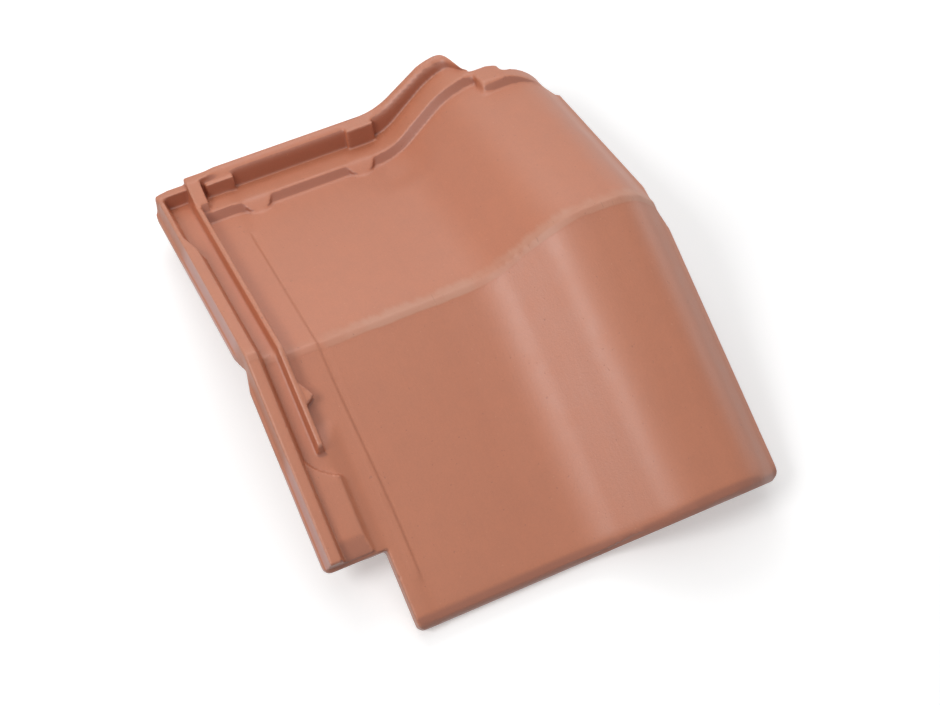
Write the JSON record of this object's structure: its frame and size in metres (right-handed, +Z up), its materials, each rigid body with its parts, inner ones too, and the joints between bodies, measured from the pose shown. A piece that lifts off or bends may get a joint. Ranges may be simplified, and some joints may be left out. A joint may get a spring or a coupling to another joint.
{
  "type": "clay roof tile",
  "caption": "Bent interlocking clay pantile for the break between two roof slopes, with a broad roll, side lock, cover lip, head shelf and hanging nibs.",
  "frame": {"origin": "on the ground under the middle of the tile's box, as it lies unheld on its tail edge and nibs", "axes": "+Z up; +Y towards the head with its shelf and wall; +X towards the roll and the cover lip"},
  "size_m": [0.281, 0.3629, 0.1132],
  "materials": {
    "fired_clay": "unglazed fired terracotta, satin matt"
  },
  "bodies": {
    "root": {"roof_tile": "fired_clay"}
  },
  "joints": []
}
